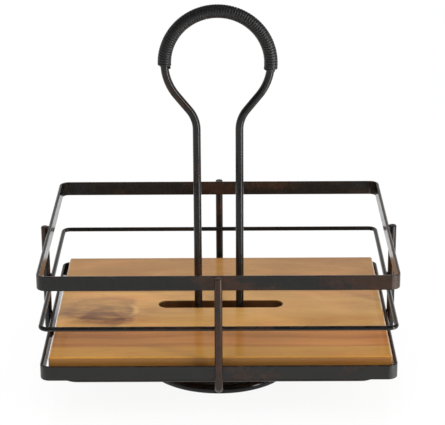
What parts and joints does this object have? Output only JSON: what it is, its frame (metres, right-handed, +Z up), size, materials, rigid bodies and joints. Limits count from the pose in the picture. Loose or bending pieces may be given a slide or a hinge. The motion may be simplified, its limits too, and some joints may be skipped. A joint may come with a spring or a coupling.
{
  "type": "revolving condiment caddy",
  "caption": "Rectangular metal basket with a lift-out slotted wooden board and a tall keyhole handle, turning on a ball-bearing base; holds jars and bottles on a table.",
  "frame": {"origin": "on the table, under the axis that the basket turns about, which is the middle of the basket", "axes": "+Z up along the turning axis, +X to the right along the basket length, +Y to the back"},
  "size_m": [0.2258, 0.18, 0.239],
  "materials": {
    "bronze_black_steel": "satin oil-rubbed bronze powder coat",
    "gloss_black_steel": "gloss black enamel",
    "foot_rubber": "matt",
    "zinc_steel": "zinc plated",
    "bearing_steel": "polished",
    "cage_plastic": "natural moulded",
    "wound_cord": "waxed black cord, semi-matt",
    "acacia_golden": "satin lacquered acacia",
    "acacia_red": "satin lacquered acacia",
    "acacia_light": "satin lacquered acacia",
    "acacia_tan": "satin lacquered acacia",
    "acacia_pink": "satin lacquered acacia"
  },
  "bodies": {
    "base": {"base_dish": "gloss_black_steel", "base_feet": "foot_rubber", "lower_race": "zinc_steel", "base_rivets": "zinc_steel", "pivot_rivet": "zinc_steel", "pivot_washer": "zinc_steel"},
    "bearing": {"ball_cage": "cage_plastic", "bearing_balls": "bearing_steel"},
    "basket": {"upper_race": "zinc_steel", "plate_rivets": "zinc_steel", "mounting_plate": "bronze_black_steel", "right_upright": "bronze_black_steel", "back_upright": "bronze_black_steel", "left_upright": "bronze_black_steel", "front_upright": "bronze_black_steel", "support_ring": "bronze_black_steel", "bottom_rail": "bronze_black_steel", "middle_rail": "bronze_black_steel", "top_rail": "bronze_black_steel", "handle_rod": "bronze_black_steel", "grip_winding": "wound_cord"},
    "board": {"front_edge_stave": "acacia_golden", "front_inner_stave": "acacia_red", "slotted_stave": "acacia_light", "rear_inner_stave": "acacia_tan", "back_stave": "acacia_pink"}
  },
  "joints": [
    {"name": "turntable_spin", "type": "hinge", "parent": "base", "child": "basket", "pos_m": [0, 0, 0.0186], "axis": [0, 0, 1], "continuous": true},
    {"name": "bearing_spin", "type": "hinge", "parent": "base", "child": "bearing", "pos_m": [0, 0, 0.0129], "axis": [0, 0, 1], "continuous": true},
    {"name": "board_lift", "type": "slide", "parent": "basket", "child": "board", "axis": [0, 0, 1], "range_m": [0, 0.215]}
  ],
  "couplings": [
    {"joint": "bearing_spin", "follows": "turntable_spin", "ratio": 0.5}
  ]
}
